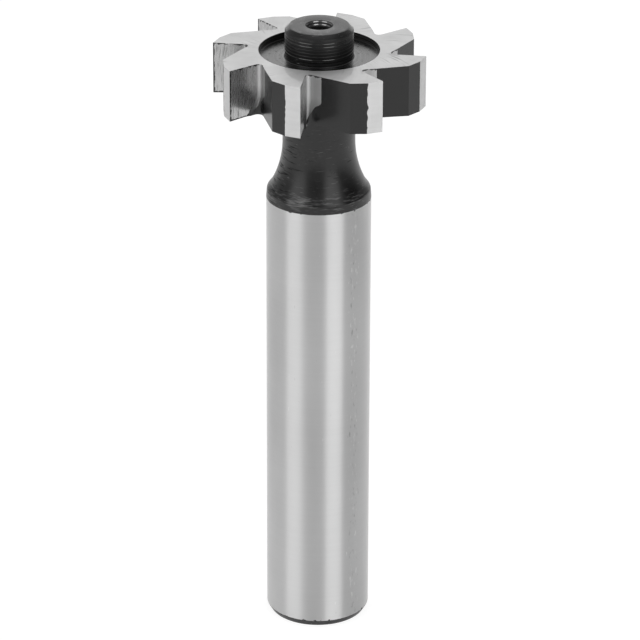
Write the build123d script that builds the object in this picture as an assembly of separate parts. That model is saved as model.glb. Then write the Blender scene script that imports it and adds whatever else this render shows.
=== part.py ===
from build123d import *
from math import cos, radians, sin, sqrt, tan
import os

# A T-slot cutter of high-speed steel, made from one bar: a round shank, a waisted neck, a
# disc-shaped head with straight teeth, and a short turned hub with a centre hole.
# Sizes are in millimetres and degrees. The cutter stands on the end of its shank: Z is its
# axis, and Z = 0 is the shank's end face.

# Shank, ground to fit a collet
shank_diameter = 12.0
shank_length = 52.7
shank_chamfer_width = 0.45
shank_chamfer_length = 0.75

# Collar left as turned at the top of the shank, a little under its radius, and then a steep
# shoulder and a flare down to the neck, which lets the head reach under the lips of a slot
collar_undersize = 0.08
collar_length = 1.05
collar_round = 0.3
shoulder_width = 0.51
shoulder_slope = 38.0
flare_radius = 11.2
neck_diameter = 8.26
neck_length = 11.7
neck_root_fillet = 0.4

# Head. Its lower side is ground hollow, so that only the tips rub in the slot.
head_diameter = 24.3
head_thickness = 6.0
hollow_angle = 2.5
recess_depth = 0.8
rim_wall = 1.07

# Teeth. Seen from above, a tooth has a flat rake face, a narrow ground land, a clearance facet
# and a straight back that runs down to the foot of the next rake face.
tooth_count = 8
first_tooth_angle = 35.33
tooth_height = 4.27
rake_angle = 2.0
land_width = 1.85
land_relief = 13.4
facet_width = 1.9
facet_relief = 31.9
gullet_radius = 0.72

# Gash. The gap between two teeth is milled with some stock left on the rake face. A small wheel
# then grinds that face and sinks a sharper corner into the gullet. Its flank skims the foot of
# the back, deepest in the corner and down to nothing where the run-out ends. The wheel is fed
# down from above and stops short, so its round edge lifts out towards the lower side.
rake_stock = 0.2
gash_skim = 0.13
gash_run_out = 1.85
gash_corner_radius = 0.58
gash_wheel_radius = 10.0
gash_wheel_width = 2.4
gash_feed = 2.15

# Hub, turned with a coarse feed, and the centre hole that the cutter is ground on
hub_diameter = 7.76
hub_height = 2.9
hub_chamfer = 0.5
hub_groove_count = 6
hub_groove_pitch = 0.38
hub_groove_depth = 0.05
centre_mouth_diameter = 3.1
centre_pilot_diameter = 2.4
centre_cone_angle = 60.0
centre_pilot_length = 2.2
drill_point_angle = 118.0

# How far a cutting tool's solid runs past the metal that it cuts
overrun = 2.0

# Places worked out from the sizes above
shank_radius = shank_diameter / 2
collar_radius = shank_radius - collar_undersize
flare_end_radius = collar_radius - shoulder_width
neck_radius = neck_diameter / 2
head_radius = head_diameter / 2
hub_radius = hub_diameter / 2
recess_radius = head_radius - tooth_height - rim_wall
tooth_pitch = 360.0 / tooth_count
collar_top = shank_length + collar_length
flare_bottom = collar_top + shoulder_width / tan(radians(shoulder_slope))
flare_rise = flare_end_radius - neck_radius
flare_top = flare_bottom + sqrt(flare_radius**2 - (flare_radius - flare_rise) ** 2)
head_bottom = shank_length + neck_length
hollow_top = head_bottom + (head_radius - neck_radius) * tan(radians(hollow_angle))
head_top = head_bottom + head_thickness
recess_floor = head_top - recess_depth
hub_top = head_top + hub_height


def polar(radius, angle):
    """A point or a direction in the plane of the head, seen from above."""
    return Vector(radius * cos(radians(angle)), radius * sin(radians(angle)))


# Plan of a tooth whose tip points along X. The gap in front of its rake face is closed by the
# back of its neighbour, one pitch further round.
tip = polar(head_radius, 0)
land_end = tip + polar(land_width, -90 - land_relief)
facet_end = land_end + polar(facet_width, -90 - facet_relief)
outward = polar(1, rake_angle)
across = polar(1, 90 + rake_angle)
root = tip - tooth_height * outward
back = (facet_end.rotate(Axis.Z, tooth_pitch) - root).normalized()


def nearest_corner(sketch, x, y):
    """The corner of a flat outline that lies nearest to a point."""
    return sketch.vertices().sort_by_distance((x, y))[0]


def turned_blank():
    """What the lathe leaves: a half section, radius across and height up, spun about the axis."""
    neck_end = (neck_radius, flare_top)
    flare_end = (flare_end_radius, flare_bottom)
    flare = TangentArc(neck_end, flare_end, tangent=(0, -1))
    rest = Polyline(
        neck_end,
        (neck_radius, hollow_top),
        (head_radius, head_bottom),
        (head_radius, head_top),
        (recess_radius, head_top),
        (recess_radius, recess_floor),
        (hub_radius, recess_floor),
        (hub_radius, hub_top - hub_chamfer),
        (hub_radius - hub_chamfer, hub_top),
        (0, hub_top),
        (0, 0),
        (shank_radius - shank_chamfer_width, 0),
        (shank_radius, shank_chamfer_length),
        (shank_radius, shank_length),
        (collar_radius, collar_top),
        flare_end,
    )
    section = make_face([flare, *rest.edges()])
    section = fillet(nearest_corner(section, collar_radius, collar_top), collar_round)
    section = fillet(nearest_corner(section, neck_radius, hollow_top), neck_root_fillet)
    return revolve(Plane.XZ * section, Axis.Z)


def milled_gap():
    """The gap in front of a rake face, which leaves the reliefs and the back of the neighbour."""
    stock = rake_stock * across
    gullet = root + back * (rake_stock / back.dot(across))
    outside = head_radius + overrun
    outline = Polyline(
        tip + stock,
        gullet,
        facet_end.rotate(Axis.Z, tooth_pitch),
        land_end.rotate(Axis.Z, tooth_pitch),
        tip.rotate(Axis.Z, tooth_pitch),
        polar(outside, tooth_pitch),
        polar(outside / cos(radians(tooth_pitch / 2)), tooth_pitch / 2),
        polar(outside, 0),
        close=True,
    )
    gap = fillet(nearest_corner(make_face(outline), gullet.X, gullet.Y), gullet_radius)
    return Pos(0, 0, head_bottom - overrun) * extrude(gap, head_thickness + 2 * overrun)


def gash():
    """What the wheel removes: its round form, and the same section drawn up through the top."""
    rim = -tooth_height - gash_skim / back.dot(across)
    centre = rim + gash_wheel_radius
    run_out_end = gash_run_out * back.dot(outward) / back.dot(across) - tooth_height
    flank_end = rim + (run_out_end - rim) * gash_wheel_width / gash_run_out
    outline = Polyline(
        (rim, 0),
        (centre, 0),
        (centre, gash_wheel_width),
        (flank_end, gash_wheel_width),
        close=True,
    )
    section = fillet(nearest_corner(make_face(outline), rim, 0), gash_corner_radius)
    wheel = revolve(section, Axis((centre, 0, 0), (0, 1, 0)))
    path = extrude(section, gash_feed + overrun)
    return Pos(head_radius, 0, head_top - gash_feed) * Rot(0, 0, rake_angle) * (wheel + path)


def hub_feed_marks():
    """Shallow V grooves that a coarse feed leaves round the hub."""
    groove = make_face(
        Polyline(
            (-hub_groove_depth, 0),
            (hub_groove_depth, 2 * hub_groove_depth),
            (hub_groove_depth, -2 * hub_groove_depth),
            close=True,
        )
    )
    top_groove = hub_top - hub_chamfer - hub_groove_pitch
    heights = [top_groove - index * hub_groove_pitch for index in range(hub_groove_count)]
    return [revolve(Plane.XZ * Pos(hub_radius, height) * groove, Axis.Z) for height in heights]


def centre_hole():
    """A centre hole with its mouth at the origin, opening upward."""
    mouth_radius = centre_mouth_diameter / 2
    pilot_radius = centre_pilot_diameter / 2
    cone_length = (mouth_radius - pilot_radius) / tan(radians(centre_cone_angle / 2))
    pilot_end = cone_length + centre_pilot_length
    point_length = pilot_radius / tan(radians(drill_point_angle / 2))
    outline = Polyline(
        (0, 0),
        (mouth_radius, 0),
        (pilot_radius, -cone_length),
        (pilot_radius, -pilot_end),
        (0, -pilot_end - point_length),
        close=True,
    )
    return revolve(Plane.XZ * make_face(outline), Axis.Z)


def cutter():
    """The blank with its gaps milled, its rake faces ground and both ends centred."""
    body = turned_blank()
    for index in range(tooth_count):
        turn = Rot(0, 0, first_tooth_angle + index * tooth_pitch)
        body -= turn * milled_gap()
        body -= turn * gash()
    body -= hub_feed_marks()
    body -= Pos(0, 0, hub_top) * centre_hole()
    body -= Rot(180, 0, 0) * centre_hole()
    return body


os.makedirs("parts", exist_ok=True)
export_step(cutter(), "parts/t_slot_cutter.step")
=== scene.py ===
# %% [markdown]
# # A T-slot cutter, dressed for its picture
# The part is one bar of high-speed steel: a ground shank, a blackened neck, a toothed head
# that is ground bright where it cuts, and a small turned hub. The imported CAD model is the
# frame. This lesson makes the same tool once more as a finer mesh, in the order in which a
# workshop makes it, so that each operation leaves its own finish on the faces that it cuts.

# %% Load the frame
from math import atan2, cos, pi, radians, sin, sqrt, tan

import bmesh
import bpy
from mathutils import Matrix, Vector


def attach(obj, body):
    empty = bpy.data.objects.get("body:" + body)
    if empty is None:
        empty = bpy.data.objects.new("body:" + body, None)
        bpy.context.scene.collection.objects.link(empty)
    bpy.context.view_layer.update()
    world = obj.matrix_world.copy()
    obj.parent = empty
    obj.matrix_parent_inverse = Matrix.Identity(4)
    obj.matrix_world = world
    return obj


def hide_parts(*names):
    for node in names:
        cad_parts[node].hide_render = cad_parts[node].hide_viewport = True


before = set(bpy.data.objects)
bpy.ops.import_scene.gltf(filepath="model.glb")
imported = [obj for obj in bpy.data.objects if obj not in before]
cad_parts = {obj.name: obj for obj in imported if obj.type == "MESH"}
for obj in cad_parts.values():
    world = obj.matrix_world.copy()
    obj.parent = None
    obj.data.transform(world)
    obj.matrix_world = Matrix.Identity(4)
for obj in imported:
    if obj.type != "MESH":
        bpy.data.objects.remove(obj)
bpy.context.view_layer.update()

# %% [markdown]
# ## Sizes
# These are the real sizes in millimetres, the same as in the part's source. The mesh is drawn
# in millimetres, because a tool's sizes are easier to read that way, and it is shrunk to
# metres once, at the end. A finish is laid on the finished piece, so it works in metres.

# %% Sizes of the cutter, in millimetres
MM = 0.001
SHANK_R = 6.0
SHANK_TOP = 52.7
SHANK_CHAMFER = (0.45, 0.75)
COLLAR_R = 5.92
COLLAR_TOP = 53.75
FLARE_END_R = 5.41
FLARE_END_Z = 54.403
FLARE_R = 11.2
NECK_R = 4.13
HEAD_R = 12.15
HEAD_BOTTOM = 64.4
HEAD_TOP = 70.4
HOLLOW = tan(radians(2.5))
RECESS_R = 6.81
RECESS_FLOOR = 69.6
HUB_R = 3.88
HUB_TOP = 73.3
HUB_CHAMFER = 0.5
TEETH = 8
FIRST_TOOTH = 35.33
TOOTH_HEIGHT = 4.27
RAKE = 2.0
LAND_WIDTH = 1.85
LAND_RELIEF = 13.4
FACET_WIDTH = 1.9
FACET_RELIEF = 31.9
GROOVES = 6
GROOVE_PITCH = 0.38
MOUTH_R = 1.55
PILOT_R = 1.2
print("cutter:", 2 * HEAD_R, "mm across and", HUB_TOP, "mm long, with", TEETH, "teeth")

# %% [markdown]
# ## Colours and nodes
# Every colour is written as the sRGB hex value that a picture of the real thing shows, and
# one function turns it into the linear value that the renderer works with. One more small
# function adds a shader node with its settings and links, which keeps each recipe short. An
# input that is a node gets that node's first output in use.

# %% Helpers for colours and nodes


def hex_colour(code):
    """An sRGB hex code as a linear colour with full alpha."""
    channels = [int(code[i : i + 2], 16) / 255 for i in (1, 3, 5)]
    linear = [c / 12.92 if c <= 0.04045 else ((c + 0.055) / 1.055) ** 2.4 for c in channels]
    return (*linear, 1.0)


def node(tree, kind, settings=None, **inputs):
    """A node of one kind. Settings are its properties; inputs are values, sockets or nodes."""
    made = tree.nodes.new(kind)
    for name, value in (settings or {}).items():
        setattr(made, name, value)
    for name, value in inputs.items():
        key = int(name[1:]) if name[1:].isdigit() else name.replace("_", " ")
        if isinstance(value, bpy.types.Node):
            value = next(socket for socket in value.outputs if socket.enabled)
        if isinstance(value, bpy.types.NodeSocket):
            tree.links.new(value, made.inputs[key])
        else:
            made.inputs[key].default_value = value
    return made


def new_finish(name):
    """A material with an empty node tree, and that tree."""
    finish = bpy.data.materials.new(name)
    finish.use_nodes = True
    finish.node_tree.nodes.clear()
    return finish, finish.node_tree


print("ground steel, linear:", tuple(round(c, 3) for c in hex_colour("#D1D1D1")[:3]))

# %% [markdown]
# Nearly every mark on a tool is a scratch, a ring or a speck, and each is noise that has been
# pulled long in one direction. So one pattern serves them all: noise whose grain is given in
# real millimetres along X, Y and Z. Real grinding marks are a few hundredths of a millimetre
# apart, finer than this picture can show, so most are drawn about 0.3 mm apart here. Two more
# helpers tell where a point lies round the axis, and mask one upright strip of the tool.

# %% Grain of a real size


def grain(tree, x, y, z, shift=0.0, detail=2.0):
    """Noise with a grain of x by y by z millimetres; a shift gives a pattern of its own."""
    place = node(tree, "ShaderNodeTexCoord").outputs["Object"]
    sized = node(
        tree,
        "ShaderNodeMapping",
        Vector=place,
        Location=(shift, shift, shift),
        Scale=(1 / (x * MM), 1 / (y * MM), 1 / (z * MM)),
    )
    return node(tree, "ShaderNodeTexNoise", Vector=sized, Scale=1.0, Detail=detail)


def around_axis(tree):
    """Where a point is: its distance from the cutter's axis, its height and its bearing."""
    place = node(tree, "ShaderNodeTexCoord").outputs["Object"]
    axes = node(tree, "ShaderNodeSeparateXYZ", Vector=place)
    level = node(tree, "ShaderNodeVectorMath", {"operation": "MULTIPLY"}, _0=place, _1=(1, 1, 0))
    radius = node(tree, "ShaderNodeVectorMath", {"operation": "LENGTH"}, _0=level)
    bearing = node(
        tree, "ShaderNodeMath", {"operation": "ARCTAN2"}, _0=axes.outputs["Y"], _1=axes.outputs["X"]
    )
    return radius, axes.outputs["Z"], bearing


def strip_at(tree, bearing, centre, inner, outer):
    """A mask that is 1 within inner degrees of a bearing and 0 beyond outer degrees."""
    turned = node(tree, "ShaderNodeMath", {"operation": "SUBTRACT"}, _0=bearing, _1=radians(centre))
    off = node(tree, "ShaderNodeMath", {"operation": "ABSOLUTE"}, _0=turned)
    return node(
        tree,
        "ShaderNodeMapRange",
        Value=off,
        From_Min=radians(inner),
        From_Max=radians(outer),
        To_Min=1.0,
        To_Max=0.0,
    )


print("a grain of 0.3 mm repeats", round(0.001 / (0.3 * MM), 1), "times in a millimetre")

# %% [markdown]
# ## The ground shank
# A cylindrical grinder leaves the shank bright, with rings too fine to see that still spread
# every reflection into long upright bands. A picture of that needs an anisotropic metal whose
# grain runs round the axis, and not a rougher one. Storage leaves a few small pits and bright
# scuffs, most of them in one upright strip, where the tool has rolled against others. They
# are the two ends of one noise: its highest values are pits and its lowest are scuffs.

# %% Pits and scuffs on the ground shank
ROLLED_AT = -47
shank_ground, tree = new_finish("shank_steel_cylindrically_ground")
_, height, bearing = around_axis(tree)
rings = grain(tree, 14, 14, 0.3)
bright = node(
    tree,
    "ShaderNodeMix",
    {"data_type": "RGBA"},
    _0=rings,
    _6=hex_colour("#D9D9D9"),
    _7=hex_colour("#DDDDDD"),
)
strip = strip_at(tree, bearing, ROLLED_AT, 4, 11)
specks = grain(tree, 0.32, 0.32, 1.0, shift=5)
more = node(tree, "ShaderNodeMath", {"operation": "MULTIPLY_ADD"}, _0=strip, _1=0.13, _2=specks)
pits = node(tree, "ShaderNodeMapRange", Value=more, From_Min=0.75, From_Max=0.86, To_Max=0.5)
less = node(tree, "ShaderNodeMath", {"operation": "MULTIPLY_ADD"}, _0=strip, _1=-0.13, _2=specks)
scuffs = node(tree, "ShaderNodeMapRange", Value=less, From_Min=0.27, From_Max=0.17, To_Max=0.7)
pitted = node(
    tree, "ShaderNodeMix", {"data_type": "RGBA"}, _0=pits, _6=bright, _7=hex_colour("#9A9A9A")
)
scuffed = node(
    tree, "ShaderNodeMix", {"data_type": "RGBA"}, _0=scuffs, _6=pitted, _7=hex_colour("#F6F6F6")
)
print("marks on the shank:", len(tree.nodes), "nodes")

# %% [markdown]
# The stone just misses some of the black skin next to the chamfer and the collar, which makes
# those two borders a little ragged. A slope towards each border is added to a fine noise, and
# the skin stays where the sum is high. There the surface isn't a bare metal either.

# %% Cylindrically ground steel
near_foot = node(
    tree,
    "ShaderNodeMapRange",
    Value=height,
    From_Min=SHANK_CHAMFER[1] * MM,
    From_Max=(SHANK_CHAMFER[1] + 0.35) * MM,
    To_Min=0.3,
    To_Max=0.0,
)
near_collar = node(
    tree,
    "ShaderNodeMapRange",
    Value=height,
    From_Min=(SHANK_TOP - 0.3) * MM,
    From_Max=SHANK_TOP * MM,
    To_Max=0.26,
)
border = node(tree, "ShaderNodeMath", {"operation": "MAXIMUM"}, _0=near_foot, _1=near_collar)
missed = node(
    tree, "ShaderNodeMath", {"operation": "ADD"}, _0=border, _1=grain(tree, 0.5, 0.5, 0.4, shift=8)
)
skin = node(tree, "ShaderNodeMapRange", Value=missed, From_Min=0.82, From_Max=0.86)
colour = node(
    tree, "ShaderNodeMix", {"data_type": "RGBA"}, _0=skin, _6=scuffed, _7=hex_colour("#242424")
)
metal = node(tree, "ShaderNodeMath", {"operation": "SUBTRACT"}, _0=1.0, _1=skin)
gloss = node(
    tree,
    "ShaderNodeMapRange",
    Value=grain(tree, 6, 6, 14, shift=2),
    From_Min=0.3,
    From_Max=0.7,
    To_Min=0.4,
    To_Max=0.44,
)
relief = node(tree, "ShaderNodeBump", Height=rings, Strength=0.08, Distance=0.002 * MM)
round_axis = node(tree, "ShaderNodeTangent", {"direction_type": "RADIAL", "axis": "Z"})
shader = node(
    tree,
    "ShaderNodeBsdfPrincipled",
    Base_Color=colour,
    Metallic=metal,
    Roughness=gloss,
    Anisotropic=1.0,
    Anisotropic_Rotation=0.25,
    Tangent=round_axis,
    Normal=relief,
)
node(tree, "ShaderNodeOutputMaterial", Surface=shader)
print("shank finish:", len(tree.nodes), "nodes")

# %% [markdown]
# ## The ground faces of the head
# A cup wheel grinds the top and the lower side flat. Its scratches run outwards from the hub
# and bend a little, so they are noise over the bearing and the distance from the axis, pulled
# long along that distance, and the bearing grows with it. A coarser noise makes them fade.
# A thin film of preserving oil lies on the faces. As a coat on the metal it adds a second,
# sharper reflection, in which the hub's border is still clear.

# %% Face-ground steel
BEND = 0.07 / MM
face_ground, tree = new_finish("face_steel_cup_wheel_ground")
radius, _, bearing = around_axis(tree)
bent = node(tree, "ShaderNodeMath", {"operation": "MULTIPLY_ADD"}, _0=radius, _1=BEND, _2=bearing)
on_face = node(tree, "ShaderNodeCombineXYZ", X=bent, Y=radius)
long_grain = node(tree, "ShaderNodeMapping", Vector=on_face, Scale=(1 / 0.035, 1 / (3.4 * MM), 1.0))
arcs = node(tree, "ShaderNodeTexNoise", Vector=long_grain, Scale=1.0, Detail=2.0)
fading = node(
    tree,
    "ShaderNodeMapRange",
    Value=grain(tree, 3, 3, 3, shift=4),
    From_Min=0.46,
    From_Max=0.66,
    To_Min=0.05,
    To_Max=1.0,
)
lines = node(tree, "ShaderNodeMapRange", Value=arcs, From_Min=0.42, From_Max=0.28)
scratched = node(tree, "ShaderNodeMath", {"operation": "MULTIPLY"}, _0=lines, _1=fading)
bright = node(
    tree,
    "ShaderNodeMix",
    {"data_type": "RGBA"},
    _0=grain(tree, 3.2, 3.2, 3.2, shift=1),
    _6=hex_colour("#B8B8B8"),
    _7=hex_colour("#DEDEDE"),
)
colour = node(
    tree, "ShaderNodeMix", {"data_type": "RGBA"}, _0=scratched, _6=bright, _7=hex_colour("#969696")
)
gloss = node(
    tree, "ShaderNodeMapRange", Value=arcs, From_Min=0.3, From_Max=0.7, To_Min=0.5, To_Max=0.44
)
relief = node(tree, "ShaderNodeBump", Height=scratched, Strength=0.3, Distance=0.004 * MM)
shader = node(
    tree,
    "ShaderNodeBsdfPrincipled",
    Base_Color=colour,
    Metallic=1.0,
    Roughness=gloss,
    Coat_Weight=0.6,
    Coat_Roughness=0.05,
    Normal=relief,
)
node(tree, "ShaderNodeOutputMaterial", Surface=shader)
print("face finish:", len(tree.nodes), "nodes")

# %% [markdown]
# ## The ground rake faces
# The flat side of a small wheel grinds each rake face with its grit moving up and down, so the
# scratches stand nearly upright. They are drawn in the plane of the face, as noise over the
# distance from the axis and the height, pulled long in height. Such scratches spread a
# reflection sideways and keep it sharp up and down, so the metal is anisotropic across its
# grain.

# %% Upright scratches on the rake faces
rake_ground, tree = new_finish("rake_steel_side_wheel_ground")
radius, height, bearing = around_axis(tree)
leaning = node(tree, "ShaderNodeMath", {"operation": "MULTIPLY_ADD"}, _0=height, _1=0.06, _2=radius)
on_face = node(tree, "ShaderNodeCombineXYZ", X=leaning, Y=height, Z=bearing)
long_grain = node(
    tree, "ShaderNodeMapping", Vector=on_face, Scale=(1 / (0.13 * MM), 1 / (1.8 * MM), 5.0)
)
strokes = node(tree, "ShaderNodeTexNoise", Vector=long_grain, Scale=1.0, Detail=1.5)
bright = node(
    tree,
    "ShaderNodeMix",
    {"data_type": "RGBA"},
    _0=strokes,
    _6=hex_colour("#A6A6A6"),
    _7=hex_colour("#C6C6C6"),
)
deep = node(tree, "ShaderNodeMapRange", Value=strokes, From_Min=0.4, From_Max=0.27, To_Max=0.85)
scratched = node(
    tree, "ShaderNodeMix", {"data_type": "RGBA"}, _0=deep, _6=bright, _7=hex_colour("#6A6A6A")
)
print("scratches on the rake faces:", len(tree.nodes), "nodes")

# %% [markdown]
# The wheel also pushes a fine burr to the edges, and the shade along the burr and the broken
# edge is painted as a ragged dark line along the top, the cutting edge and the lower edge. Its
# distance from an edge is worked out, a fine noise is taken off, and the painted shade lies
# where less than nothing is left. Along the top that gives dashes, which the gullets need too,
# so a helper makes them.

# %% Side-wheel ground steel


def top_dashes(tree, height):
    """A distance that dips below zero in dashes along the top edge of the head."""
    below_top = node(
        tree, "ShaderNodeMath", {"operation": "SUBTRACT"}, _0=(HEAD_TOP + 0.33) * MM, _1=height
    )
    return node(
        tree,
        "ShaderNodeMath",
        {"operation": "MULTIPLY_ADD"},
        _0=grain(tree, 0.4, 0.4, 0.3, shift=13),
        _1=-1.0 * MM,
        _2=below_top,
    )


inside_tip = node(tree, "ShaderNodeMath", {"operation": "SUBTRACT"}, _0=HEAD_R * MM, _1=radius)
hollow_rise = node(
    tree, "ShaderNodeMath", {"operation": "MULTIPLY_ADD"}, _0=radius, _1=HOLLOW, _2=height
)
above_foot = node(
    tree,
    "ShaderNodeMath",
    {"operation": "SUBTRACT"},
    _0=hollow_rise,
    _1=(HEAD_BOTTOM + HEAD_R * HOLLOW) * MM,
)
side_edge = node(tree, "ShaderNodeMath", {"operation": "MINIMUM"}, _0=inside_tip, _1=above_foot)
thin_line = node(
    tree,
    "ShaderNodeMath",
    {"operation": "MULTIPLY_ADD"},
    _0=grain(tree, 0.5, 0.5, 0.4, shift=6),
    _1=-0.42 * MM,
    _2=side_edge,
)
ragged = node(
    tree, "ShaderNodeMath", {"operation": "MINIMUM"}, _0=thin_line, _1=top_dashes(tree, height)
)
# painted shade: a ragged dark line along the burred edges
burr_painted_shade = node(
    tree, "ShaderNodeMapRange", Value=ragged, From_Min=-0.02 * MM, From_Max=-0.07 * MM, To_Max=0.92
)
colour = node(
    tree, "ShaderNodeMix", {"data_type": "RGBA"}, _0=burr_painted_shade, _6=scratched, _7=hex_colour("#2A2A2A")
)
gloss = node(
    tree, "ShaderNodeMapRange", Value=strokes, From_Min=0.3, From_Max=0.7, To_Min=0.3, To_Max=0.22
)
relief = node(tree, "ShaderNodeBump", Height=strokes, Strength=0.6, Distance=0.006 * MM)
facing = node(tree, "ShaderNodeNewGeometry").outputs["Normal"]
across_grain = node(
    tree, "ShaderNodeVectorMath", {"operation": "CROSS_PRODUCT"}, _0=facing, _1=(0, 0, 1)
)
shader = node(
    tree,
    "ShaderNodeBsdfPrincipled",
    Base_Color=colour,
    Metallic=1.0,
    Roughness=gloss,
    Anisotropic=0.9,
    Tangent=across_grain,
    Normal=relief,
)
node(tree, "ShaderNodeOutputMaterial", Surface=shader)
print("rake finish:", len(tree.nodes), "nodes")

# %% [markdown]
# The wheel's round corner and its rim leave the gullet smoother than the face: the marks run
# straight down, and the surface mirrors the lamps as one soft upright stripe. Its colour is
# darkened towards its lower end, where the wheel lifts out, as painted shade, and a ragged
# line of painted shade from the burr breaks up its top edge.

# %% Gullet steel, ground by the wheel's corner
gullet_ground, tree = new_finish("gullet_steel_wheel_corner_ground")
_, height, _ = around_axis(tree)
drawn = grain(tree, 0.3, 0.3, 7, shift=3)
bright = node(
    tree,
    "ShaderNodeMix",
    {"data_type": "RGBA"},
    _0=drawn,
    _6=hex_colour("#B4B4B4"),
    _7=hex_colour("#CACACA"),
)
# painted shade: the stripe's colour darkens towards its lower end
painted_shade_low_end = node(
    tree,
    "ShaderNodeMapRange",
    Value=height,
    From_Min=(HEAD_TOP - 2.5) * MM,
    From_Max=(HEAD_TOP - 5.8) * MM,
)
with_painted_shade = node(
    tree, "ShaderNodeMix", {"data_type": "RGBA"}, _0=painted_shade_low_end, _6=bright, _7=hex_colour("#444444")
)
# painted shade: dashes of burr shade along the top edge
burr_painted_shade = node(
    tree,
    "ShaderNodeMapRange",
    Value=top_dashes(tree, height),
    From_Min=0.0,
    From_Max=-0.06 * MM,
    To_Max=0.85,
)
colour = node(
    tree, "ShaderNodeMix", {"data_type": "RGBA"}, _0=burr_painted_shade, _6=with_painted_shade, _7=hex_colour("#2A2A2A")
)
gloss = node(
    tree, "ShaderNodeMapRange", Value=drawn, From_Min=0.3, From_Max=0.7, To_Min=0.46, To_Max=0.4
)
shader = node(tree, "ShaderNodeBsdfPrincipled", Base_Color=colour, Metallic=1.0, Roughness=gloss)
node(tree, "ShaderNodeOutputMaterial", Surface=shader)
print("gullet finish:", len(tree.nodes), "nodes")

# %% [markdown]
# ## The ground lands
# Behind each cutting edge a narrow land is ground round the head, as bright as the shank and
# with the same grain round the axis. The stone stops somewhere on the black clearance facet,
# so that border wanders by a tenth of a millimetre. The bearing within one tooth says where.

# %% Relief-ground steel
land_ground, tree = new_finish("land_steel_relief_ground")
_, _, bearing = around_axis(tree)
tooth_turn = node(
    tree,
    "ShaderNodeMath",
    {"operation": "MULTIPLY_ADD"},
    _0=bearing,
    _1=TEETH / (2 * pi),
    _2=TEETH * (2 - FIRST_TOOTH / 360),
)
within = node(tree, "ShaderNodeMath", {"operation": "FRACT"}, _0=tooth_turn)
land_turn = atan2(
    LAND_WIDTH * cos(radians(LAND_RELIEF)), HEAD_R - LAND_WIDTH * sin(radians(LAND_RELIEF))
) * TEETH / (2 * pi)
near_facet = node(
    tree,
    "ShaderNodeMapRange",
    Value=within,
    From_Min=1 - land_turn,
    From_Max=1 - land_turn + 0.025,
    To_Min=0.34,
    To_Max=0.0,
)
missed = node(
    tree,
    "ShaderNodeMath",
    {"operation": "ADD"},
    _0=near_facet,
    _1=grain(tree, 0.9, 0.9, 1.0, shift=9),
)
skin = node(tree, "ShaderNodeMapRange", Value=missed, From_Min=0.78, From_Max=0.84)
bright = node(
    tree,
    "ShaderNodeMix",
    {"data_type": "RGBA"},
    _0=grain(tree, 5, 5, 0.6, shift=2),
    _6=hex_colour("#C8C8C8"),
    _7=hex_colour("#D6D6D6"),
)
colour = node(
    tree, "ShaderNodeMix", {"data_type": "RGBA"}, _0=skin, _6=bright, _7=hex_colour("#242424")
)
metal = node(tree, "ShaderNodeMath", {"operation": "SUBTRACT"}, _0=1.0, _1=skin)
gloss = node(
    tree,
    "ShaderNodeMapRange",
    Value=grain(tree, 1.5, 1.5, 3, shift=7),
    From_Min=0.3,
    From_Max=0.7,
    To_Min=0.38,
    To_Max=0.44,
)
round_axis = node(tree, "ShaderNodeTangent", {"direction_type": "RADIAL", "axis": "Z"})
shader = node(
    tree,
    "ShaderNodeBsdfPrincipled",
    Base_Color=colour,
    Metallic=metal,
    Roughness=gloss,
    Anisotropic=0.8,
    Anisotropic_Rotation=0.25,
    Tangent=round_axis,
)
node(tree, "ShaderNodeOutputMaterial", Surface=shader)
print("land finish:", len(tree.nodes), "nodes; a land spans", round(land_turn, 3), "of a pitch")

# %% [markdown]
# ## Black oxide on turned steel
# Hardening and steam leave a black oxide skin on all that isn't ground again. It isn't a
# metal to the eye: it is nearly black, and what brightness it has is a thin gloss that grows
# towards its edges. Under it are the rings of the turning tool. The collar and its edge are
# rubbed lighter, where a collet's mouth touches them, most of all in one place that has been
# knocked, and so is the end of the hub. Short bright nicks run round the neck. Each kind of
# wear raises or picks the peaks of a noise, so that it comes out in streaks and not as a wash.

# %% Black skin and where it is worn
KNOCKED_AT = -114
oxide_turned, tree = new_finish("black_oxide_on_turned_steel")
radius, height, bearing = around_axis(tree)
rings = grain(tree, 9, 9, 0.26)
cloud = grain(tree, 2.4, 2.4, 1.6, shift=3)
black = node(
    tree,
    "ShaderNodeMix",
    {"data_type": "RGBA"},
    _0=cloud,
    _6=hex_colour("#0D0D0D"),
    _7=hex_colour("#181818"),
)
collar_zone = node(
    tree,
    "ShaderNodeMapRange",
    Value=height,
    From_Min=(FLARE_END_Z + 2.6) * MM,
    From_Max=COLLAR_TOP * MM,
    To_Max=0.06,
)
hub_end = node(
    tree,
    "ShaderNodeMapRange",
    Value=height,
    From_Min=(HUB_TOP - 0.12) * MM,
    From_Max=(HUB_TOP - 0.02) * MM,
    To_Max=0.14,
)
zones = node(tree, "ShaderNodeMath", {"operation": "MAXIMUM"}, _0=collar_zone, _1=hub_end)
above_edge = node(
    tree, "ShaderNodeMath", {"operation": "SUBTRACT"}, _0=height, _1=(COLLAR_TOP + 0.2) * MM
)
edge_off = node(tree, "ShaderNodeMath", {"operation": "ABSOLUTE"}, _0=above_edge)
collar_edge = node(
    tree,
    "ShaderNodeMapRange",
    Value=edge_off,
    From_Min=0.35 * MM,
    From_Max=1.0 * MM,
    To_Min=1.0,
    To_Max=0.0,
)
knock = node(
    tree,
    "ShaderNodeMath",
    {"operation": "MULTIPLY_ADD"},
    _0=strip_at(tree, bearing, KNOCKED_AT, 5, 18),
    _1=0.16,
    _2=0.07,
)
wear = node(
    tree, "ShaderNodeMath", {"operation": "MULTIPLY_ADD"}, _0=collar_edge, _1=knock, _2=zones
)
rubbing = node(
    tree,
    "ShaderNodeMath",
    {"operation": "ADD"},
    _0=wear,
    _1=grain(tree, 1.2, 1.2, 0.15, shift=6, detail=4),
)
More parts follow.
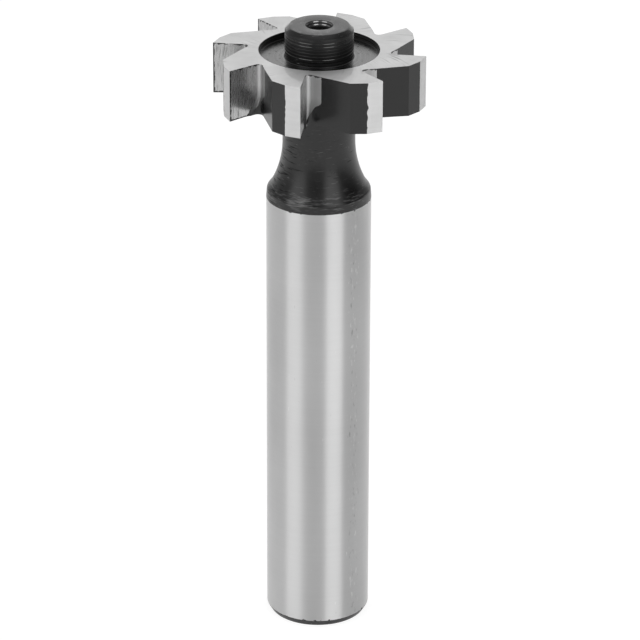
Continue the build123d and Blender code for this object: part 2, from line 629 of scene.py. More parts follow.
rubbed = node(tree, "ShaderNodeMapRange", Value=rubbing, From_Min=0.64, From_Max=0.9)
worn = node(
    tree, "ShaderNodeMix", {"data_type": "RGBA"}, _0=rubbed, _6=black, _7=hex_colour("#6C6C6C")
)
nicks = node(
    tree,
    "ShaderNodeMapRange",
    Value=grain(tree, 1.3, 1.3, 0.08, shift=12, detail=1),
    From_Min=0.77,
    From_Max=0.81,
    To_Max=0.8,
)
nicked = node(
    tree, "ShaderNodeMix", {"data_type": "RGBA"}, _0=nicks, _6=worn, _7=hex_colour("#8C8C8C")
)
print("worn black skin:", len(tree.nodes), "nodes")

# %% [markdown]
# Dull streaks lie round one side of the neck, where it has been handled. They are as black as
# the rest but mirror less, so they change the gloss and the strength of the reflection, and
# not the colour. The hub has none.

# %% Gloss of the neck
HANDLED_AT = -150
handled = node(
    tree,
    "ShaderNodeMath",
    {"operation": "MULTIPLY_ADD"},
    _0=strip_at(tree, bearing, HANDLED_AT, 14, 38),
    _1=0.12,
    _2=grain(tree, 1.7, 1.7, 0.13, shift=15, detail=1),
)
dull = node(tree, "ShaderNodeMapRange", Value=handled, From_Min=0.71, From_Max=0.77, To_Max=0.3)
off_hub = node(
    tree,
    "ShaderNodeMapRange",
    Value=height,
    From_Min=HEAD_BOTTOM * MM,
    From_Max=(HEAD_BOTTOM + 1) * MM,
    To_Min=1.0,
    To_Max=0.0,
)
matt = node(tree, "ShaderNodeMath", {"operation": "MULTIPLY"}, _0=dull, _1=off_hub)
skin_shine = node(tree, "ShaderNodeMapRange", Value=matt, From_Max=0.3, To_Min=0.52, To_Max=0.18)
cloudy_gloss = node(
    tree, "ShaderNodeMapRange", Value=cloud, From_Min=0.3, From_Max=0.7, To_Min=0.27, To_Max=0.33
)
neck_gloss = node(tree, "ShaderNodeMath", {"operation": "ADD"}, _0=cloudy_gloss, _1=dull)
print("with the neck's gloss:", len(tree.nodes), "nodes")

# %% [markdown]
# The feed marks on the hub are smooth at the bottom and shine there, while the ridges between
# them are dull. A cosine of the height, one wave to a groove, says which is which. Half-way
# down, the hub is worn and the grooves shine less, and above the top groove nothing does.

# %% Gloss of the hub
WORN_MIDDLE = HUB_TOP - 2.02
TOP_OF_SIDE = HUB_TOP - HUB_CHAMFER
on_hub = node(
    tree,
    "ShaderNodeMapRange",
    Value=height,
    From_Min=(HEAD_TOP - 1.0) * MM,
    From_Max=(HEAD_TOP - 0.6) * MM,
)
groove_turn = node(
    tree,
    "ShaderNodeMath",
    {"operation": "MULTIPLY_ADD"},
    _0=height,
    _1=2 * pi / (GROOVE_PITCH * MM),
    _2=-2 * pi * TOP_OF_SIDE / GROOVE_PITCH,
)
wave = node(tree, "ShaderNodeMath", {"operation": "COSINE"}, _0=groove_turn)
above_middle = node(
    tree, "ShaderNodeMath", {"operation": "SUBTRACT"}, _0=height, _1=WORN_MIDDLE * MM
)
off_middle = node(tree, "ShaderNodeMath", {"operation": "ABSOLUTE"}, _0=above_middle)
unworn = node(
    tree,
    "ShaderNodeMapRange",
    Value=off_middle,
    From_Min=0.5 * MM,
    From_Max=0.68 * MM,
    To_Min=0.35,
    To_Max=1.0,
)
below_chamfer = node(
    tree,
    "ShaderNodeMapRange",
    Value=height,
    From_Min=(TOP_OF_SIDE - 0.15) * MM,
    From_Max=(TOP_OF_SIDE - 0.25) * MM,
)
fresh = node(tree, "ShaderNodeMath", {"operation": "MULTIPLY"}, _0=unworn, _1=below_chamfer)
groove_wave = node(tree, "ShaderNodeMath", {"operation": "MULTIPLY"}, _0=wave, _1=fresh)
hub_side_gloss = node(
    tree,
    "ShaderNodeMapRange",
    Value=groove_wave,
    From_Min=0.2,
    From_Max=0.6,
    To_Min=0.45,
    To_Max=0.1,
)
on_side = node(
    tree,
    "ShaderNodeMapRange",
    Value=radius,
    From_Min=(HUB_R - 0.1) * MM,
    From_Max=(HUB_R - 0.05) * MM,
)
all_hub_gloss = node(
    tree, "ShaderNodeMix", {"data_type": "FLOAT"}, _0=on_side, _2=0.15, _3=hub_side_gloss
)
hub_gloss = node(
    tree, "ShaderNodeMix", {"data_type": "FLOAT"}, _0=on_hub, _2=neck_gloss, _3=all_hub_gloss
)
groove_shine = node(
    tree,
    "ShaderNodeMapRange",
    Value=groove_wave,
    From_Min=0.2,
    From_Max=0.8,
    To_Min=0.42,
    To_Max=1.0,
)
on_grooves = node(tree, "ShaderNodeMath", {"operation": "MULTIPLY"}, _0=on_hub, _1=on_side)
shine = node(
    tree, "ShaderNodeMix", {"data_type": "FLOAT"}, _0=on_grooves, _2=skin_shine, _3=groove_shine
)
print("with the hub's gloss:", len(tree.nodes), "nodes")

# %% [markdown]
# The centre hole is dull black, but for two rings of bright bare steel that the grinder's
# centre has rubbed into the cone of its mouth. The two rings are set where the lamps'
# highlights show in the cone, so they are partly painted highlights. A sine of the radius
# gives the rings, and two masks keep them on the cone.

# %% Bright rings in the centre hole
RING_PITCH = 0.17
RING_START = -2.865
ring_turn = node(
    tree,
    "ShaderNodeMath",
    {"operation": "MULTIPLY_ADD"},
    _0=radius,
    _1=2 * pi / (RING_PITCH * MM),
    _2=RING_START,
)
ring_wave = node(tree, "ShaderNodeMath", {"operation": "SINE"}, _0=ring_turn)
ring_edge = node(tree, "ShaderNodeMapRange", Value=ring_wave, From_Min=0.2, From_Max=0.5)
past_pilot = node(
    tree,
    "ShaderNodeMapRange",
    Value=radius,
    From_Min=(PILOT_R + 0.04) * MM,
    From_Max=(PILOT_R + 0.06) * MM,
)
inside_mouth = node(
    tree, "ShaderNodeMapRange", Value=radius, From_Min=MOUTH_R * MM, From_Max=(MOUTH_R - 0.02) * MM
)
on_cone = node(tree, "ShaderNodeMath", {"operation": "MULTIPLY"}, _0=past_pilot, _1=inside_mouth)
# painted highlight: bright metal rings where the cone shows the lamps
polished_rings_painted_highlight = node(tree, "ShaderNodeMath", {"operation": "MULTIPLY"}, _0=ring_edge, _1=on_cone)
in_hole = node(
    tree, "ShaderNodeMapRange", Value=radius, From_Min=(MOUTH_R + 0.05) * MM, From_Max=MOUTH_R * MM
)
deep_black = node(
    tree, "ShaderNodeMix", {"data_type": "RGBA"}, _0=in_hole, _6=nicked, _7=hex_colour("#0C0C0C")
)
colour = node(
    tree,
    "ShaderNodeMix",
    {"data_type": "RGBA"},
    _0=polished_rings_painted_highlight,
    _6=deep_black,
    _7=hex_colour("#8E8E8E"),
)
hole_gloss = node(tree, "ShaderNodeMix", {"data_type": "FLOAT"}, _0=in_hole, _2=hub_gloss, _3=0.6)
gloss = node(tree, "ShaderNodeMix", {"data_type": "FLOAT"}, _0=polished_rings_painted_highlight, _2=hole_gloss, _3=0.16)
print("with the centre hole:", len(tree.nodes), "nodes")

# %% [markdown]
# The turning rings are a little relief, nearly none on the hub, whose own grooves are in the
# mesh. The skin is no metal, so its brightness is all in the reflection's strength; only the
# two polished rings are bare steel.

# %% Black oxide over turning marks
depth = node(tree, "ShaderNodeMix", {"data_type": "FLOAT"}, _0=on_hub, _2=0.5, _3=0.05)
relief = node(tree, "ShaderNodeBump", Height=rings, Strength=depth, Distance=0.002 * MM)
shader = node(
    tree,
    "ShaderNodeBsdfPrincipled",
    Base_Color=colour,
    Metallic=polished_rings_painted_highlight,
    Roughness=gloss,
    Specular_IOR_Level=shine,
    Normal=relief,
)
node(tree, "ShaderNodeOutputMaterial", Surface=shader)
print("turned oxide:", len(tree.nodes), "nodes")

# %% [markdown]
# The backs of the teeth have the same skin over milled steel. A milling cutter that runs
# along the axis leaves upright lines instead of rings.

# %% Black oxide over milling marks
oxide_milled, tree = new_finish("black_oxide_on_milled_steel")
drawn = grain(tree, 0.34, 0.34, 9, shift=1)
cloud = grain(tree, 2.5, 2.5, 2.5, shift=5)
black = node(
    tree,
    "ShaderNodeMix",
    {"data_type": "RGBA"},
    _0=cloud,
    _6=hex_colour("#0C0C0C"),
    _7=hex_colour("#151515"),
)
lines = node(tree, "ShaderNodeMapRange", Value=drawn, From_Min=0.62, From_Max=0.78, To_Max=0.12)
colour = node(
    tree, "ShaderNodeMix", {"data_type": "RGBA"}, _0=lines, _6=black, _7=hex_colour("#3C3C3C")
)
gloss = node(
    tree, "ShaderNodeMapRange", Value=drawn, From_Min=0.3, From_Max=0.7, To_Min=0.27, To_Max=0.24
)
relief = node(tree, "ShaderNodeBump", Height=drawn, Strength=0.12, Distance=0.002 * MM)
shader = node(tree, "ShaderNodeBsdfPrincipled", Base_Color=colour, Roughness=gloss, Normal=relief)
node(tree, "ShaderNodeOutputMaterial", Surface=shader)
print("milled oxide:", len(tree.nodes), "nodes")

# %% [markdown]
# The floor of the recess round the hub was faced on the lathe after hardening. It is a darker
# grey than the ground faces but smooth enough to mirror the hub. Its rings run round the
# axis, and swarf has left a few dark specks in it.

# %% Faced steel on the recess floor
recess_faced, tree = new_finish("recess_steel_faced")
radius, _, _ = around_axis(tree)
rings = node(
    tree,
    "ShaderNodeTexNoise",
    {"noise_dimensions": "1D"},
    W=radius,
    Scale=1 / (0.3 * MM),
    Detail=2.0,
)
ringed = node(
    tree,
    "ShaderNodeMix",
    {"data_type": "RGBA"},
    _0=rings,
    _6=hex_colour("#6E6E6E"),
    _7=hex_colour("#787878"),
)
specks = node(
    tree,
    "ShaderNodeMapRange",
    Value=grain(tree, 0.42, 0.42, 0.42, shift=11, detail=0),
    From_Min=0.72,
    From_Max=0.8,
    To_Max=0.85,
)
colour = node(
    tree, "ShaderNodeMix", {"data_type": "RGBA"}, _0=specks, _6=ringed, _7=hex_colour("#303030")
)
gloss = node(
    tree, "ShaderNodeMapRange", Value=rings, From_Min=0.3, From_Max=0.7, To_Min=0.28, To_Max=0.22
)
relief = node(tree, "ShaderNodeBump", Height=rings, Strength=0.3, Distance=0.002 * MM)
shader = node(
    tree,
    "ShaderNodeBsdfPrincipled",
    Base_Color=colour,
    Metallic=1.0,
    Roughness=gloss,
    Normal=relief,
)
node(tree, "ShaderNodeOutputMaterial", Surface=shader)
print("recess finish:", len(tree.nodes), "nodes")

# %% [markdown]
# A face of a mesh names its material by a number, so all eight finishes go on every solid in
# one order, and each number gets a name.

# %% The finishes in their order
FINISHES = [
    shank_ground,
    face_ground,
    rake_ground,
    gullet_ground,
    land_ground,
    oxide_turned,
    oxide_milled,
    recess_faced,
]
SHANK, FACE, RAKE_FACE, GULLET, LAND, TURNED, MILLED, FACED = range(len(FINISHES))
print("finishes:", [finish.name for finish in FINISHES])

# %% [markdown]
# ## The turned blank
# On the real cutter a lathe makes everything that is round. In Blender that is a half
# section, radius across and height up, that a spin takes round the axis. Only the corners
# are written down: each is rounded with a vertex bevel, and the flare of the neck is a
# vertex spun about the flare's own centre. The head is left a little oversize, because the
# teeth are cut from it afterwards.

# %% The half section
OVERSIZE = 0.35
CONE_DEPTH = 0.606
PILOT_DEPTH = 2.806
POINT_DEPTH = 3.527
GROOVE_DEPTH = 0.04
GROOVE_REACH = 0.055
STEPS_ROUND = 192
blank = bmesh.new()


def add_corners(corners):
    """A run of vertices joined by edges, in the plane of the half section."""
    made = [blank.verts.new((r, 0, z)) for r, z in corners]
    for a, b in zip(made, made[1:]):
        blank.edges.new((a, b))
    return made


lower = add_corners(
    [
        (0, POINT_DEPTH),
        (PILOT_R, PILOT_DEPTH),
        (PILOT_R, CONE_DEPTH),
        (MOUTH_R, 0),
        (SHANK_R - SHANK_CHAMFER[0], 0),
        (SHANK_R, SHANK_CHAMFER[1]),
        (SHANK_R, SHANK_TOP),
        (COLLAR_R, COLLAR_TOP),
        (FLARE_END_R, FLARE_END_Z),
    ]
)
flare_top = FLARE_END_Z + sqrt(FLARE_R**2 - (FLARE_R - FLARE_END_R + NECK_R) ** 2)
flare_centre = Vector((NECK_R + FLARE_R, 0, flare_top))
sweep = atan2(flare_top - FLARE_END_Z, flare_centre.x - FLARE_END_R)
bmesh.ops.spin(
    blank, geom=[lower[-1]], cent=flare_centre, axis=(0, 1, 0), angle=sweep, steps=14
)
neck_start = min(blank.verts, key=lambda v: (v.co - Vector((NECK_R, 0, flare_top))).length)

neck_end_z = HEAD_BOTTOM + (HEAD_R - NECK_R) * HOLLOW
grooves = []
for index in range(GROOVES):
    z = HUB_TOP - HUB_CHAMFER - (index + 1) * GROOVE_PITCH
    one = [(HUB_R, z - GROOVE_REACH), (HUB_R - GROOVE_DEPTH, z), (HUB_R, z + GROOVE_REACH)]
    grooves = one + grooves
upper = add_corners(
    [
        (NECK_R, neck_end_z),
        (HEAD_R + OVERSIZE, HEAD_BOTTOM - OVERSIZE * HOLLOW),
        (HEAD_R + OVERSIZE, HEAD_TOP),
        (RECESS_R, HEAD_TOP),
        (RECESS_R, RECESS_FLOOR),
        (HUB_R, RECESS_FLOOR),
        *grooves,
        (HUB_R, HUB_TOP - HUB_CHAMFER),
        (HUB_R - HUB_CHAMFER, HUB_TOP),
        (MOUTH_R, HUB_TOP),
        (PILOT_R, HUB_TOP - CONE_DEPTH),
        (PILOT_R, HUB_TOP - PILOT_DEPTH),
        (0, HUB_TOP - POINT_DEPTH),
    ]
)
blank.edges.new((neck_start, upper[0]))
print("half section:", len(blank.verts), "corners, flare ends at z", round(flare_top, 2))

# %% [markdown]
# A corner that a lathe tool or a stone leaves is never quite sharp. The list gives each
# corner's round in millimetres along its edges. The cutting edges aren't in it: a cutter's
# edges are the one place that is sharp.

# %% Round the turned corners


def section_vertex(r, z):
    """The vertex of the half section nearest to a radius and a height."""
    return min(blank.verts, key=lambda v: (v.co - Vector((r, 0, z))).length)


TURNED_ROUNDS = [
    (MOUTH_R, 0, 0.08),
    (SHANK_R - SHANK_CHAMFER[0], 0, 0.06),
    (SHANK_R, SHANK_CHAMFER[1], 0.06),
    (SHANK_R, SHANK_TOP, 0.02),
    (COLLAR_R, COLLAR_TOP, 0.16),
    (FLARE_END_R, FLARE_END_Z, 0.1),
    (NECK_R, neck_end_z, 0.4),
    (RECESS_R, HEAD_TOP, 0.03),
    (RECESS_R, RECESS_FLOOR, 0.1),
    (HUB_R, RECESS_FLOOR, 0.1),
    (HUB_R, HUB_TOP - HUB_CHAMFER, 0.1),
    (HUB_R - HUB_CHAMFER, HUB_TOP, 0.1),
    (MOUTH_R, HUB_TOP, 0.04),
]
for r, z, reach in TURNED_ROUNDS:
    bmesh.ops.bevel(
        blank,
        geom=[section_vertex(r, z)],
        offset=reach,
        segments=4,
        profile=0.5,
        affect="VERTICES",
        material=-1,
    )
print("rounded section:", len(blank.verts), "corners")

# %% [markdown]
# A full spin closes on itself with use_merge. Each face then takes its finish from where it
# lies, as on the real tool: the shank and the flat faces are ground, the rest stays black.

# %% Spin the section and give its faces their finish
bmesh.ops.spin(
    blank,
    geom=blank.verts[:] + blank.edges[:],
    cent=(0, 0, 0),
    axis=(0, 0, 1),
    angle=2 * pi,
    steps=STEPS_ROUND,
    use_merge=True,
)
bmesh.ops.remove_doubles(blank, verts=blank.verts, dist=1e-5)
bmesh.ops.recalc_face_normals(blank, faces=blank.faces)
for face in blank.faces:
    centre = face.calc_center_median()
    r = sqrt(centre.x**2 + centre.y**2)
    z = centre.z
    flat = abs(face.normal.z) > 0.99
    if r > SHANK_R - 0.06 and SHANK_CHAMFER[1] + 0.03 < z < SHANK_TOP:
        face.material_index = SHANK
    elif flat and r > NECK_R + 0.8 and HEAD_BOTTOM - 0.1 < z < HEAD_TOP - 1:
        face.material_index = FACE
    elif flat and r > RECESS_R and z > HEAD_TOP - 0.05:
        face.material_index = FACE
    elif flat and HUB_R < r < RECESS_R and abs(z - RECESS_FLOOR) < 0.05:
        face.material_index = FACED
    else:
        face.material_index = TURNED
open_edges = sum(not edge.is_manifold for edge in blank.edges)
print("blank:", len(blank.faces), "faces,", open_edges, "open edges")

# %% [markdown]
# ## The milled teeth
# A milling cutter takes the metal out between the teeth. Here that is one tall prism with
# the outline of all eight teeth, and a Boolean keeps what the blank and the prism share.
# One tooth's corners are turned round the axis with a duplicating spin, and each gullet is
# rounded with a vertex bevel. Some stock is left on the rake faces for the wheel.

# %% Outline of the teeth


def polar(radius, angle):
    """A point or a direction in the plane of the head, seen from above."""
    return Vector((radius * cos(radians(angle)), radius * sin(radians(angle)), 0))


STOCK = 0.2
GULLET_R = 0.72
tip = polar(HEAD_R, 0)
land_way = polar(1, -90 - LAND_RELIEF)
land_end = tip + LAND_WIDTH * land_way
facet_end = land_end + polar(FACET_WIDTH, -90 - FACET_RELIEF)
outward = polar(1, RAKE)
across = polar(1, 90 + RAKE)
root = tip - TOOTH_HEIGHT * outward
pitch = Matrix.Rotation(2 * pi / TEETH, 3, "Z")
back = (pitch @ facet_end - root).normalized()
gullet = root + back * (STOCK / back.dot(across))
nose = tip - land_way * (STOCK / -land_way.dot(across))

teeth = bmesh.new()
corners = [nose, gullet, pitch @ facet_end, pitch @ land_end, pitch @ nose]
chain = [teeth.verts.new(corner) for corner in corners]
for a, b in zip(chain, chain[1:]):
    teeth.edges.new((a, b))
bmesh.ops.spin(
    teeth,
    geom=teeth.verts[:] + teeth.edges[:],
    cent=(0, 0, 0),
    axis=(0, 0, 1),
    angle=2 * pi * (TEETH - 1) / TEETH,
    steps=TEETH - 1,
    use_duplicate=True,
)
bmesh.ops.remove_doubles(teeth, verts=teeth.verts, dist=1e-4)
bmesh.ops.contextual_create(teeth, geom=teeth.edges[:])
gullet_angle = back.angle(outward)
bmesh.ops.bevel(
    teeth,
    geom=[v for v in teeth.verts if v.co.length < gullet.length + 0.1],
    offset=GULLET_R / tan(gullet_angle / 2),
    segments=8,
    profile=0.5,
    affect="VERTICES",
    material=-1,
)
print("outline:", len(teeth.verts), "corners, gullets", round(gullet_angle * 180 / pi), "degrees")

# %% [markdown]
# The outline is raised to a prism by an extrusion. It starts below the shank and ends above
# the hub, because the Boolean keeps only what lies inside it. Its walls carry the finishes of
# the teeth: the lands are ground, and all the rest is milled and black. A land is told from
# the other walls by how far its middle lies from the axis.

# %% Raise the outline to a prism and give its walls their finish
PRISM_HEIGHT = 80
PRISM_START = -3


def extrude_by(mesh, geom, way):
    """Extrude faces and move what is new along a vector; gives back the new geometry."""
    new = bmesh.ops.extrude_face_region(mesh, geom=geom)["geom"]
    corners = [part for part in new if isinstance(part, bmesh.types.BMVert)]
    bmesh.ops.translate(mesh, verts=corners, vec=way)
    return new


extrude_by(teeth, teeth.faces[:], (0, 0, PRISM_HEIGHT))
bmesh.ops.translate(teeth, verts=teeth.verts, vec=(0, 0, PRISM_START))
bmesh.ops.recalc_face_normals(teeth, faces=teeth.faces)
land_middle = (tip + land_end).length / 2
for face in teeth.faces:
    centre = face.calc_center_median()
    on_land = abs(centre.xy.length - land_middle) < 0.15 and abs(face.normal.z) < 0.1
    face.material_index = LAND if on_land else MILLED
lands = sum(face.material_index == LAND for face in teeth.faces)
print("prism:", len(teeth.faces), "faces,", lands, "of them lands")

# %% [markdown]
# ## The ground gashes
# A small wheel with a round corner then grinds each rake face and sinks into the gullet. It
# is fed down from above and stops short, so its rim lifts out towards the lower side, and it
# is then moved outwards along the face. Its solid is the wheel's section, extruded down to
# where the feed ends, spun a quarter turn about the wheel's own axis, and extruded outwards
# past the tip. Its flank leaves the back of the next tooth where the skim runs out.

# %% The wheel's solid
SKIM = 0.13
RUN_OUT = 1.85
WHEEL_R = 4.4
WHEEL_WIDTH = 2.4
FEED = 3.0
TRAVERSE = 3.5
OVERRUN = 2.0
CORNER_R = 0.58
rim = -TOOTH_HEIGHT - SKIM / back.dot(across)
hub_line = rim + WHEEL_R
run_out_end = RUN_OUT * back.dot(outward) / back.dot(across) - TOOTH_HEIGHT
flank_end = rim + (run_out_end - rim) * WHEEL_WIDTH / RUN_OUT
corner_angle = atan2(WHEEL_WIDTH, flank_end - rim)
above = FEED + OVERRUN
wheel = bmesh.new()
section = [
    (rim, 0, above),
    (hub_line, 0, above),
    (hub_line, WHEEL_WIDTH, above),
    (flank_end, WHEEL_WIDTH, above),
]
wheel.faces.new([wheel.verts.new(corner) for corner in section])
bmesh.ops.bevel(
    wheel,
    geom=[v for v in wheel.verts if v.co.x < rim + 1e-4 and v.co.y < 1e-4],
    offset=CORNER_R / tan(corner_angle / 2),
    segments=8,
    profile=0.5,
    affect="VERTICES",
    material=-1,
)
lowered = extrude_by(wheel, wheel.faces[:], (0, 0, -above))
bmesh.ops.spin(
    wheel,
    geom=lowered,
    cent=(hub_line, 0, 0),
    axis=(0, 1, 0),
    angle=-pi / 2,
    steps=40,
)
bmesh.ops.remove_doubles(wheel, verts=wheel.verts, dist=1e-5)
ends = [f for f in wheel.faces if all(abs(v.co.x - hub_line) < 1e-4 for v in f.verts)]
extrude_by(wheel, ends, (TRAVERSE, 0, 0))
bmesh.ops.delete(wheel, geom=ends, context="FACES")
bmesh.ops.recalc_face_normals(wheel, faces=wheel.faces)
for face in wheel.faces:
    face.material_index = RAKE_FACE if face.normal.y < -0.99 else GULLET
open_edges = sum(not edge.is_manifold for edge in wheel.edges)
print("wheel:", len(wheel.faces), "faces,", open_edges, "open edges")

# %% [markdown]
# The wheel was drawn with the tip of the tooth at the origin and its flat side along the rake
# face. It is moved to the first tooth and leaned by the rake angle, and a duplicating spin
# then sets seven copies round the axis, as the indexing head of the grinder does.

# %% Place the wheel in the first tooth and turn seven copies
to_tooth = Matrix.Translation((HEAD_R, 0, HEAD_TOP - FEED))
leaned = Matrix.Rotation(radians(RAKE), 4, "Z")
bmesh.ops.transform(wheel, matrix=to_tooth @ leaned, verts=wheel.verts)
bmesh.ops.spin(
    wheel,
    geom=wheel.verts[:] + wheel.edges[:] + wheel.faces[:],
    cent=(0, 0, 0),
    axis=(0, 0, 1),
    angle=2 * pi * (TEETH - 1) / TEETH,
    steps=TEETH - 1,
    use_duplicate=True,
)
print("wheels:", len(wheel.faces), "faces")

# %% [markdown]
# ## Cutting
# Both solids carry the finishes too, and an exact Boolean passes them on to the faces that it
# cuts. So a milled wall comes out black, a gashed one bright, without naming a single face.

# %% Cut the blank with both solids


def as_object(mesh, name):
    """A bmesh made an object that carries every finish."""
    data = bpy.data.meshes.new(name)
    mesh.to_mesh(data)
    mesh.free()
    made = bpy.data.objects.new(name, data)
    bpy.context.scene.collection.objects.link(made)
    for finish in FINISHES:
        data.materials.append(finish)
    return made


cutter = as_object(blank, "cutter_body")
first_turn = Matrix.Rotation(radians(FIRST_TOOTH), 3, "Z")
for name, solid, operation in (
    ("tooth_prism", teeth, "INTERSECT"),
    ("gash_wheels", wheel, "DIFFERENCE"),
):
    bmesh.ops.rotate(solid, cent=(0, 0, 0), matrix=first_turn, verts=solid.verts)
    tool = as_object(solid, name)
    cut = cutter.modifiers.new(name, "BOOLEAN")
    cut.object = tool
    cut.operation = operation
    cut.solver = "EXACT"
    cut.material_mode = "INDEX"
    bpy.context.view_layer.update()
    settled = cutter.evaluated_get(bpy.context.evaluated_depsgraph_get())
    result = bpy.data.meshes.new_from_object(settled)
    cutter.modifiers.clear()
    cutter.data = result
    bpy.data.objects.remove(tool)
    print(name, operation.lower(), "leaves", len(result.polygons), "faces")

# %% [markdown]
# ## Finishing the mesh
# Doubles that the cuts leave are merged, the drawing shrinks to metres, and every face is
# shaded smooth. Edges sharper than 25 degrees stay sharp, and weighted normals let the large
# flat faces keep flat highlights.

# %% Merge, measure and shrink
body = bmesh.new()
body.from_mesh(cutter.data)
bmesh.ops.remove_doubles(body, verts=body.verts, dist=1e-4)
bmesh.ops.dissolve_degenerate(body, edges=body.edges, dist=1e-4)
open_edges = sum(not edge.is_manifold for edge in body.edges)
volume = round(body.calc_volume())
print("cutter:", len(body.faces), "faces,", open_edges, "open edges,", volume, "mm3")
bmesh.ops.scale(body, vec=(MM, MM, MM), verts=body.verts)
for face in body.faces:
    face.smooth = True
body.to_mesh(cutter.data)
body.free()
cutter.data.set_sharp_from_angle(angle=radians(25))
even = cutter.modifiers.new("even_normals", "WEIGHTED_NORMAL")
even.keep_sharp = True
even.weight = 100

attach(cutter, "root")
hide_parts("t_slot_cutter")

# %% [markdown]
# ## Floor
# A catalogue picture stands a tool on white paper. In the picture the floor is lifted to white
# while it still shows the tool's shadow. Bright metal mirrors it a little less bright, as
# paper beyond the lamps' reach would be, and to all other light it is plain white paper.

# %% Floor
floor_finish, tree = new_finish("floor_white_paper")
path = node(tree, "ShaderNodeLightPath")
mirrored = node(
    tree,
    "ShaderNodeMath",
    {"operation": "MAXIMUM"},
    _0=path.outputs["Is Glossy Ray"],
    _1=path.outputs["Is Transmission Ray"],
)
paper = node(tree, "ShaderNodeBsdfDiffuse", Color=hex_colour("#F0F0F0"))
shaded = node(tree, "ShaderNodeBsdfDiffuse", Color=hex_colour("#7C7C7C"))
white = node(tree, "ShaderNodeEmission", Color=(1, 1, 1, 1), Strength=0.9)
half_white = node(tree, "ShaderNodeEmission", Color=(1, 1, 1, 1), Strength=0.34)
in_picture = node(tree, "ShaderNodeAddShader", _0=shaded, _1=white)
in_metal = node(tree, "ShaderNodeAddShader", _0=paper, _1=half_white)
bounced = node(tree, "ShaderNodeMixShader", Fac=mirrored, _1=paper, _2=in_metal)
shown = node(
    tree, "ShaderNodeMixShader", Fac=path.outputs["Is Camera Ray"], _1=bounced, _2=in_picture
)
node(tree, "ShaderNodeOutputMaterial", Surface=shown)

FLOOR_R = 3.0
floor_mesh = bmesh.new()
bmesh.ops.create_circle(floor_mesh, cap_ends=True, segments=96, radius=FLOOR_R)
floor_data = bpy.data.meshes.new("floor")
floor_mesh.to_mesh(floor_data)
floor_mesh.free()
floor_data.materials.append(floor_finish)
floor = bpy.data.objects.new("floor", floor_data)
bpy.context.scene.collection.objects.link(floor)
print("floor:", round(floor.dimensions.x, 1), "m across")

# %% [markdown]
# ## Studio light
# The bands on the shank say how the real tool was lit: each bright band is the reflection of
# one tall softbox, and the grey between them is the room. One softbox stands to the left, one
# nearer the camera's right, and a wide pale one stands for the wall behind. The room itself is
# grey. It is dimmer towards the right, where the shank has its darkest band, and towards the
# camera, and its ceiling is brighter. The picture's own background stays white.

# %% The room
DARK_SIDE = (0.985, -0.174, 0)
CAMERA_SIDE = (0, -0.82, 0.57)
world = bpy.data.worlds.new("studio")
bpy.context.scene.world = world
world.use_nodes = True
tree = world.node_tree
tree.nodes.clear()
path = node(tree, "ShaderNodeLightPath")
way = node(tree, "ShaderNodeTexCoord").outputs["Generated"]
toward_right = node(
    tree, "ShaderNodeVectorMath", {"operation": "DOT_PRODUCT"}, _0=way, _1=DARK_SIDE
)
right_dimming = node(
    tree,
    "ShaderNodeMapRange",
    Value=toward_right,
    From_Min=0.55,
    From_Max=0.97,
    To_Min=0.38,
    To_Max=0.03,
)
toward_camera = node(
    tree, "ShaderNodeVectorMath", {"operation": "DOT_PRODUCT"}, _0=way, _1=CAMERA_SIDE
)
front_dimming = node(
    tree,
    "ShaderNodeMapRange",
    Value=toward_camera,
    From_Min=0.6,
    From_Max=0.9,
    To_Min=1.0,
    To_Max=0.6,
)
dimming = node(
    tree, "ShaderNodeMath", {"operation": "MULTIPLY"}, _0=right_dimming, _1=front_dimming
)
upward = node(tree, "ShaderNodeVectorMath", {"operation": "DOT_PRODUCT"}, _0=way, _1=(0, 0, 1))
ceiling = node(tree, "ShaderNodeMapRange", Value=upward, From_Min=0.8, From_Max=0.95, To_Max=0.4)
glow = node(tree, "ShaderNodeMath", {"operation": "ADD"}, _0=dimming, _1=ceiling)
room = node(tree, "ShaderNodeBackground", Color=(1, 1, 1, 1), Strength=glow)
white = node(tree, "ShaderNodeBackground", Color=(1, 1, 1, 1), Strength=1.0)
seen = node(tree, "ShaderNodeMixShader", Fac=path.outputs["Is Camera Ray"], _1=room, _2=white)
node(tree, "ShaderNodeOutputWorld", Surface=seen)
print("room:", len(tree.nodes), "nodes")

# %% [markdown]
# An area lamp with a power in watts gets dimmer to the eye as it grows. So each softbox is
# given by how bright it should look in the metal, and its power follows from that and its
# size. Where it stands is a bearing and an elevation, seen from the middle of the cutter.

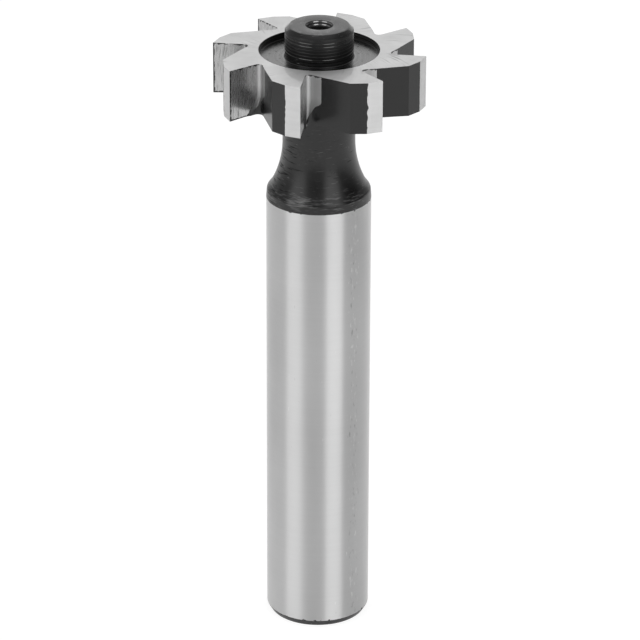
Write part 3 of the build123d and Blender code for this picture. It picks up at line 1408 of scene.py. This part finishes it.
# %% Three softboxes
LAMP_DISTANCE = 0.8
AIM_HEIGHT = 40


def softbox(name, azimuth, elevation, width, height, radiance):
    """An area lamp that faces the cutter, with a bearing and an elevation in degrees."""
    data = bpy.data.lights.new(name, "AREA")
    data.shape = "RECTANGLE"
    data.size, data.size_y = width, height
    data.energy = radiance * pi * width * height
    lamp = bpy.data.objects.new(name, data)
    around, up = radians(azimuth), radians(elevation)
    way = Vector((cos(around) * cos(up), sin(around) * cos(up), sin(up)))
    place = Vector((0, 0, AIM_HEIGHT * MM)) + LAMP_DISTANCE * way
    facing = way.to_track_quat("Z", "Y").to_matrix().to_4x4()
    lamp.matrix_world = Matrix.Translation(place) @ facing
    bpy.context.scene.collection.objects.link(lamp)
    lamp.visible_camera = False
    print(name, "is", round(data.energy, 2), "W")


softbox("softbox_left", 215.6, 28, 0.53, 0.75, 1.18)
softbox("softbox_right", 306.1, 28, 0.51, 0.75, 1.6)
softbox("softbox_back", 90, 25, 1.2, 0.7, 0.66)

# %% [markdown]
# ## Camera
# The picture was taken from about half a metre away and 24 degrees above, with a long lens.
# The numbers were fitted to corners of the teeth and to the ends of the shank. The fit gives
# the focal length in pixels, which the width of the picture turns into millimetres.

# %% Camera
FOCAL_PIXELS = 4053.7
PICTURE_PIXELS = 640
STANDPOINT = (0.2395, -426.90, 230.38)
PAN = 0.007
DOWNWARD = 24.364
ROLL = 0.186
camera_data = bpy.data.cameras.new("camera")
camera_data.sensor_width = 36.0
camera_data.lens = FOCAL_PIXELS / PICTURE_PIXELS * camera_data.sensor_width
camera_data.clip_start = 0.01
camera = bpy.data.objects.new("camera", camera_data)
camera.matrix_world = (
    Matrix.Translation([c * MM for c in STANDPOINT])
    @ Matrix.Rotation(radians(PAN), 4, "Z")
    @ Matrix.Rotation(radians(90 - DOWNWARD), 4, "X")
    @ Matrix.Rotation(radians(ROLL), 4, "Z")
)
bpy.context.scene.collection.objects.link(camera)
bpy.context.scene.camera = camera
bpy.context.scene.view_settings.view_transform = "Standard"
print("lens", round(camera_data.lens), "mm")
